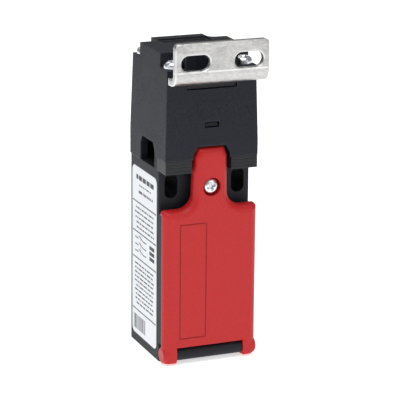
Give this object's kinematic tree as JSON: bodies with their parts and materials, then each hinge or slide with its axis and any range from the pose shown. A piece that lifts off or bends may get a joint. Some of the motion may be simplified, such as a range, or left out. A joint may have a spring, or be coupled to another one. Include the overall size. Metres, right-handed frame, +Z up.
{
  "type": "tongue interlock switch",
  "caption": "Safety interlock switch: upright housing with a hinged front cover, a turnable head with two key slots and a bent tongue key that slides in under the head's top.",
  "frame": {"origin": "on the back face, midway between the centres of the two mounting slots", "axes": "+X to the right seen from the front, +Y out of the back towards the wall it is mounted on, +Z up along the housing"},
  "size_m": [0.0312, 0.0381, 0.1033],
  "materials": {
    "case_plastic": "fine moulded matte, near black",
    "cover_plastic": "satin moulded red",
    "label_paper": "smooth white film",
    "head_plastic": "fine moulded matte, near black",
    "guide_plastic": "satin black",
    "inner_plastic": "satin dark grey",
    "block_plastic": "satin pale grey",
    "carrier_plastic": "satin natural",
    "zinc": "bright zinc plate",
    "steel": "satin stainless",
    "pin_steel": "ground",
    "spring_steel": "drawn wire",
    "brass": "machined",
    "contact_metal": "pressed strip with bright contact tips",
    "rubber": "soft black"
  },
  "bodies": {
    "housing": {"case": "case_plastic", "type_label": "label_paper", "head_housing": "head_plastic", "head_screws": "zinc", "front_key_guide": "guide_plastic", "top_key_guide": "guide_plastic", "head_clip": "guide_plastic", "cam_cradle": "inner_plastic", "hinge_pin": "pin_steel", "screw_insert": "brass", "cam_shaft": "pin_steel", "plunger_seal": "rubber", "head_seal": "rubber", "contact_block": "block_plastic", "return_spring": "spring_steel", "terminal_screws": "zinc", "wire_clamps": "zinc", "terminal_no_left": "contact_metal", "terminal_no_right": "contact_metal", "terminal_nc_upper_left": "contact_metal", "terminal_nc_upper_right": "contact_metal", "terminal_nc_lower_left": "contact_metal", "terminal_nc_lower_right": "contact_metal"},
    "key": {"actuator_key": "steel"},
    "drum": {"cam_drum": "inner_plastic"},
    "plunger_rod": {"plunger": "pin_steel"},
    "cover": {"front_cover": "cover_plastic", "cover_gasket": "rubber"},
    "cover_fastener": {"cover_screw": "zinc"},
    "carrier": {"contact_carrier": "carrier_plastic", "bridge_no": "contact_metal", "bridge_nc_upper": "contact_metal", "bridge_nc_lower": "contact_metal", "bridge_spring_no": "spring_steel", "bridge_spring_nc_upper": "spring_steel", "bridge_spring_nc_lower": "spring_steel"}
  },
  "joints": [
    {"name": "key_slide", "type": "slide", "parent": "housing", "child": "key", "axis": [0, -1, 0], "range_m": [0, 0.026]},
    {"name": "drum_turn", "type": "hinge", "parent": "housing", "child": "drum", "pos_m": [0, -0.0153, 0.026], "axis": [1, 0, 0], "range_deg": [0, 60]},
    {"name": "plunger_slide", "type": "slide", "parent": "housing", "child": "plunger_rod", "axis": [0, 0, -1], "range_m": [0, 0.0035]},
    {"name": "carrier_slide", "type": "slide", "parent": "housing", "child": "carrier", "axis": [0, 0, -1], "range_m": [0, 0.0035], "stiffness_N_per_m": 300, "springref_m": -0.003, "deforming": ["return_spring"]},
    {"name": "cover_hinge", "type": "hinge", "parent": "housing", "child": "cover", "pos_m": [0, -0.0284, -0.0533], "axis": [1, 0, 0], "range_deg": [0, 100]},
    {"name": "cover_screw_turn", "type": "hinge", "parent": "cover", "child": "cover_fastener", "pos_m": [0, -0.0287, 0.00025], "axis": [0, 1, 0], "continuous": true}
  ],
  "couplings": [
    {"joint": "drum_turn", "follows": "key_slide", "rad_per_m": 40.277},
    {"joint": "plunger_slide", "follows": "key_slide", "ratio": 0.1346},
    {"joint": "carrier_slide", "follows": "key_slide", "ratio": 0.1346}
  ]
}
